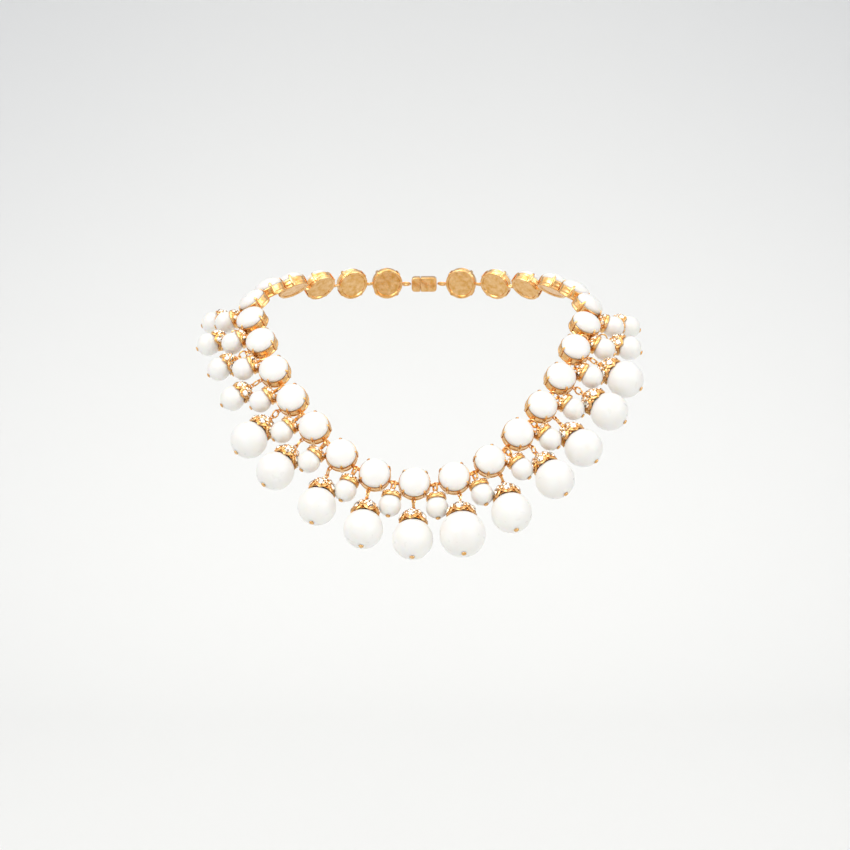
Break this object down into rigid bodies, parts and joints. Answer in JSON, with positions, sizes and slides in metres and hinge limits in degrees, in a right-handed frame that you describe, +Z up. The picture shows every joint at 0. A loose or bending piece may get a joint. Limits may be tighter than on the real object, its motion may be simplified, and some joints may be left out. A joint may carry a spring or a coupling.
{
  "type": "necklace",
  "caption": "Collar necklace of domed white stones in gold claw settings, with white bead drops under crown caps, kept in the form it has when worn.",
  "frame": {"origin": "the middle of the opening that the neck goes through", "axes": "+X towards the wearer's left, -Y forwards, +Z up along the neck"},
  "size_m": [0.2048, 0.1534, 0.1338],
  "materials": {
    "white_resin": "opaque white cast resin with a soft polish",
    "gold_plate": "polished yellow gold plate on cast metal"
  },
  "bodies": {
    "root": {"cabochon_01": "white_resin", "cabochon_02": "white_resin", "cabochon_03": "white_resin", "cabochon_04": "white_resin", "cabochon_05": "white_resin", "cabochon_06": "white_resin", "cabochon_07": "white_resin", "cabochon_08": "white_resin", "cabochon_09": "white_resin", "cabochon_10": "white_resin", "cabochon_11": "white_resin", "cabochon_12": "white_resin", "cabochon_13": "white_resin", "cabochon_14": "white_resin", "cabochon_15": "white_resin", "cabochon_16": "white_resin", "cabochon_17": "white_resin", "cabochon_18": "white_resin", "cabochon_19": "white_resin", "drop_bead_02": "white_resin", "drop_bead_03": "white_resin", "drop_bead_04": "white_resin", "drop_bead_05": "white_resin", "drop_bead_06": "white_resin", "drop_bead_07": "white_resin", "drop_bead_08": "white_resin", "drop_bead_09": "white_resin", "drop_bead_10": "white_resin", "drop_bead_11": "white_resin", "drop_bead_12": "white_resin", "drop_bead_13": "white_resin", "drop_bead_14": "white_resin", "drop_bead_15": "white_resin", "drop_bead_16": "white_resin", "drop_bead_17": "white_resin", "drop_bead_18": "white_resin", "drop_cap_02": "gold_plate", "drop_cap_03": "gold_plate", "drop_cap_04": "gold_plate", "drop_cap_05": "gold_plate", "drop_cap_06": "gold_plate", "drop_cap_07": "gold_plate", "drop_cap_08": "gold_plate", "drop_cap_09": "gold_plate", "drop_cap_10": "gold_plate", "drop_cap_11": "gold_plate", "drop_cap_12": "gold_plate", "drop_cap_13": "gold_plate", "drop_cap_14": "gold_plate", "drop_cap_15": "gold_plate", "drop_cap_16": "gold_plate", "drop_cap_17": "gold_plate", "drop_cap_18": "gold_plate", "collar_left": "gold_plate", "collar_right": "gold_plate", "collar_back_left": "gold_plate", "collar_back_right": "gold_plate", "clasp": "gold_plate"}
  },
  "joints": []
}
